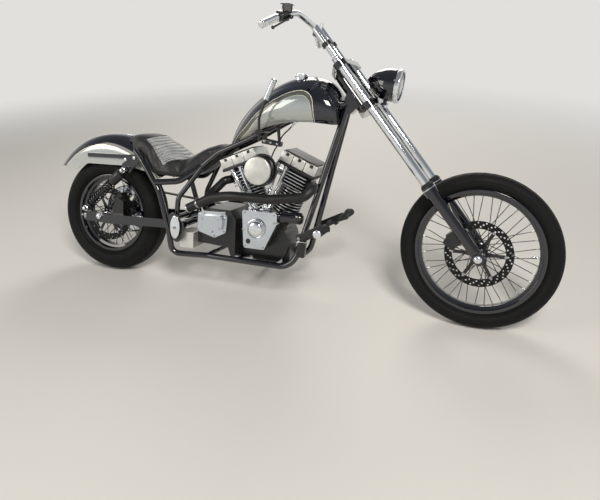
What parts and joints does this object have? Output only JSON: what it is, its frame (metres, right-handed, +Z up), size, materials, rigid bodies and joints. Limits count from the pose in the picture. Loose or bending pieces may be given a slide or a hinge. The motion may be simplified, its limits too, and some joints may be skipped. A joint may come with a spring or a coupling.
{
  "type": "long-fork chopper motorcycle",
  "caption": "Long-fork chopper motorcycle with a V-twin engine, wire wheels, teardrop tank, stepped seat and belt drive, leaning on its side stand",
  "frame": {"origin": "on the ground where the rear tyre's crown rests, below the rear axle", "axes": "+X forward along the machine, +Y to the rider's left, +Z up; the machine leans to its left by 12.6 degrees"},
  "size_m": [2.6536, 0.8796, 1.4197],
  "materials": {
    "gloss_black": "polished",
    "satin_black": "satin",
    "chrome": "polished",
    "alloy": "satin",
    "steel": "brushed",
    "tyre_rubber": "matte",
    "rubber": "matte",
    "leather": "satin",
    "lens": "clear"
  },
  "bodies": {
    "chassis": {"frame_backbone": "gloss_black", "frame_downtubes": "gloss_black", "frame_lower_rails": "gloss_black", "frame_rear_uprights": "gloss_black", "frame_pivot_stays": "gloss_black", "frame_cradle": "gloss_black", "swingarm": "gloss_black", "rear_axle": "steel", "shock_absorbers": "satin_black", "rear_fender": "gloss_black", "fender_struts": "satin_black", "fuel_tank": "gloss_black", "fuel_cap": "chrome", "seat": "leather", "crankcase": "alloy", "cylinders": "satin_black", "rocker_boxes": "alloy", "pushrod_tubes": "chrome", "carburettor": "satin_black", "air_cleaner": "chrome", "transmission": "alloy", "side_covers": "alloy", "primary_cover": "satin_black", "battery_box": "satin_black", "oil_filter": "satin_black", "exhaust_pipes": "satin_black", "hand_shift_lever": "satin_black", "foot_controls": "satin_black", "foot_pegs": "rubber", "rear_caliper": "satin_black", "front_sprocket": "satin_black", "drive_belt": "rubber"},
    "steering": {"lower_triple_tree": "chrome", "upper_triple_tree": "chrome", "fork_tubes": "chrome", "fork_lower_legs": "satin_black", "front_axle": "steel", "headlight_shell": "gloss_black", "headlight_lens": "lens", "handlebar": "chrome", "hand_grips": "rubber", "bar_controls": "satin_black", "front_caliper": "satin_black"},
    "front_wheel": {"front_tyre": "tyre_rubber", "front_wire_wheel": "satin_black", "front_brake_disc": "steel"},
    "rear_wheel": {"rear_tyre": "tyre_rubber", "rear_wire_wheel": "satin_black", "rear_brake_disc": "steel", "rear_pulley": "satin_black"},
    "side_stand": {"side_stand": "satin_black"}
  },
  "joints": [
    {"name": "front_wheel_spin", "type": "hinge", "parent": "steering", "child": "front_wheel", "pos_m": [1.945, 0.05874, 0.34278], "axis": [0, 0.9759, -0.2181], "continuous": true},
    {"name": "rear_wheel_spin", "type": "hinge", "parent": "chassis", "child": "rear_wheel", "pos_m": [0, 0.05301, 0.31715], "axis": [0, 0.9759, -0.2181], "continuous": true},
    {"name": "steering", "type": "hinge", "parent": "chassis", "child": "steering", "pos_m": [1.37615, 0.19291, 0.94304], "axis": [-0.6293, 0.1695, 0.7584], "range_deg": [-30, 30]},
    {"name": "side_stand_swing", "type": "hinge", "parent": "chassis", "child": "side_stand", "pos_m": [0.8, 0.13888, 0.11456], "axis": [0, 0.5129, 0.8584], "range_deg": [0, 95]}
  ]
}
